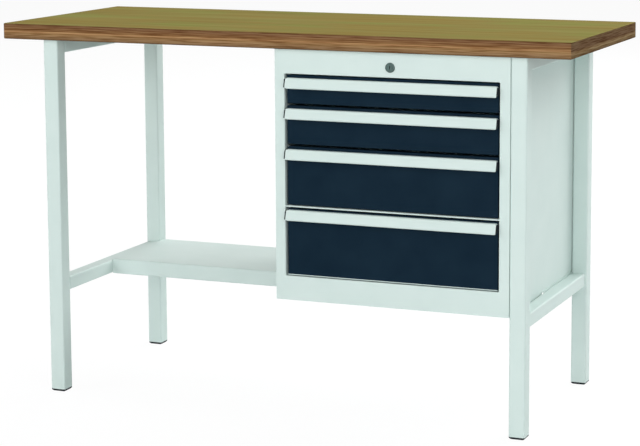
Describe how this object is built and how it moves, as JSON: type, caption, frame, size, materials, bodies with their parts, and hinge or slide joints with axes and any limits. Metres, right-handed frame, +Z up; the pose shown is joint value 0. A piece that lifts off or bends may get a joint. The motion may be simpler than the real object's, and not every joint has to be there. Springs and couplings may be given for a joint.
{
  "type": "box workbench",
  "caption": "Workbench with a wooden top on square-tube end frames, a rear shelf on one side and a lockable cabinet of drawers on telescopic rails on the other.",
  "frame": {"origin": "on the floor, in the middle of the bench's box, pull strips included", "axes": "+X along the bench from the shelf side to the cabinet side, +Y from the drawer fronts to the back, +Z up"},
  "size_m": [1.5, 0.6032, 0.955],
  "materials": {
    "beech_top": "clear varnished beech multiplex, 40 mm thick, edges showing the plies",
    "grey_paint": "light grey powder coat, semi-gloss, on steel sheet and tube",
    "blue_paint": "anthracite blue powder coat, semi-gloss, on sheet steel",
    "zinc_steel": "bright zinc-plated steel",
    "lock_metal": "nickel-plated zinc casting, dulled",
    "black_plastic": "black moulded polyethylene"
  },
  "bodies": {
    "frame": {"worktop": "beech_top", "left_front_leg": "grey_paint", "left_front_foot": "black_plastic", "left_rear_leg": "grey_paint", "left_rear_foot": "black_plastic", "left_top_rail": "grey_paint", "left_lower_rail": "grey_paint", "right_front_leg": "grey_paint", "right_front_foot": "black_plastic", "right_rear_leg": "grey_paint", "right_rear_foot": "black_plastic", "right_top_rail": "grey_paint", "right_lower_rail": "grey_paint", "shelf": "grey_paint", "cabinet_left_side": "grey_paint", "cabinet_right_side": "grey_paint", "cabinet_back": "grey_paint", "cabinet_base": "grey_paint", "cabinet_front_frame": "grey_paint", "cabinet_cross_rail": "grey_paint", "lock_housing": "lock_metal", "drawer_1_left_cabinet_rail": "zinc_steel", "drawer_1_right_cabinet_rail": "zinc_steel", "drawer_2_left_cabinet_rail": "zinc_steel", "drawer_2_right_cabinet_rail": "zinc_steel", "drawer_3_left_cabinet_rail": "zinc_steel", "drawer_3_right_cabinet_rail": "zinc_steel", "drawer_4_left_cabinet_rail": "zinc_steel", "drawer_4_right_cabinet_rail": "zinc_steel"},
    "drawer_1": {"drawer_1_tray": "grey_paint", "drawer_1_front": "blue_paint", "drawer_1_pull": "grey_paint", "drawer_1_left_drawer_rail": "zinc_steel", "drawer_1_right_drawer_rail": "zinc_steel"},
    "drawer_1_runners": {"drawer_1_left_middle_rail": "zinc_steel", "drawer_1_right_middle_rail": "zinc_steel"},
    "drawer_2": {"drawer_2_tray": "grey_paint", "drawer_2_front": "blue_paint", "drawer_2_pull": "grey_paint", "drawer_2_left_drawer_rail": "zinc_steel", "drawer_2_right_drawer_rail": "zinc_steel"},
    "drawer_2_runners": {"drawer_2_left_middle_rail": "zinc_steel", "drawer_2_right_middle_rail": "zinc_steel"},
    "drawer_3": {"drawer_3_tray": "grey_paint", "drawer_3_front": "blue_paint", "drawer_3_pull": "grey_paint", "drawer_3_left_drawer_rail": "zinc_steel", "drawer_3_right_drawer_rail": "zinc_steel"},
    "drawer_3_runners": {"drawer_3_left_middle_rail": "zinc_steel", "drawer_3_right_middle_rail": "zinc_steel"},
    "drawer_4": {"drawer_4_tray": "grey_paint", "drawer_4_front": "blue_paint", "drawer_4_pull": "grey_paint", "drawer_4_left_drawer_rail": "zinc_steel", "drawer_4_right_drawer_rail": "zinc_steel"},
    "drawer_4_runners": {"drawer_4_left_middle_rail": "zinc_steel", "drawer_4_right_middle_rail": "zinc_steel"},
    "lock_key_parts": {"lock_core": "lock_metal", "lock_cam": "zinc_steel"},
    "lock_bar": {"lock_bar": "zinc_steel"}
  },
  "joints": [
    {"name": "drawer_1_slide", "type": "slide", "parent": "frame", "child": "drawer_1", "axis": [0, -1, 0], "range_m": [0, 0.45]},
    {"name": "drawer_1_runner_slide", "type": "slide", "parent": "frame", "child": "drawer_1_runners", "axis": [0, -1, 0], "range_m": [0, 0.225]},
    {"name": "drawer_2_slide", "type": "slide", "parent": "frame", "child": "drawer_2", "axis": [0, -1, 0], "range_m": [0, 0.45]},
    {"name": "drawer_2_runner_slide", "type": "slide", "parent": "frame", "child": "drawer_2_runners", "axis": [0, -1, 0], "range_m": [0, 0.225]},
    {"name": "drawer_3_slide", "type": "slide", "parent": "frame", "child": "drawer_3", "axis": [0, -1, 0], "range_m": [0, 0.45]},
    {"name": "drawer_3_runner_slide", "type": "slide", "parent": "frame", "child": "drawer_3_runners", "axis": [0, -1, 0], "range_m": [0, 0.225]},
    {"name": "drawer_4_slide", "type": "slide", "parent": "frame", "child": "drawer_4", "axis": [0, -1, 0], "range_m": [0, 0.45]},
    {"name": "drawer_4_runner_slide", "type": "slide", "parent": "frame", "child": "drawer_4_runners", "axis": [0, -1, 0], "range_m": [0, 0.225]},
    {"name": "lock_turn", "type": "hinge", "parent": "frame", "child": "lock_key_parts", "pos_m": [0.301, -0.28839, 0.879], "axis": [0, 1, 0], "range_deg": [0, 95]},
    {"name": "lock_bar_drop", "type": "slide", "parent": "frame", "child": "lock_bar", "axis": [0, 0, -1], "range_m": [0, 0.008]}
  ],
  "couplings": [
    {"joint": "drawer_1_runner_slide", "follows": "drawer_1_slide", "ratio": 0.5},
    {"joint": "drawer_2_runner_slide", "follows": "drawer_2_slide", "ratio": 0.5},
    {"joint": "drawer_3_runner_slide", "follows": "drawer_3_slide", "ratio": 0.5},
    {"joint": "drawer_4_runner_slide", "follows": "drawer_4_slide", "ratio": 0.5},
    {"joint": "lock_turn", "follows": "lock_bar_drop", "rad_per_m": 196.3}
  ]
}
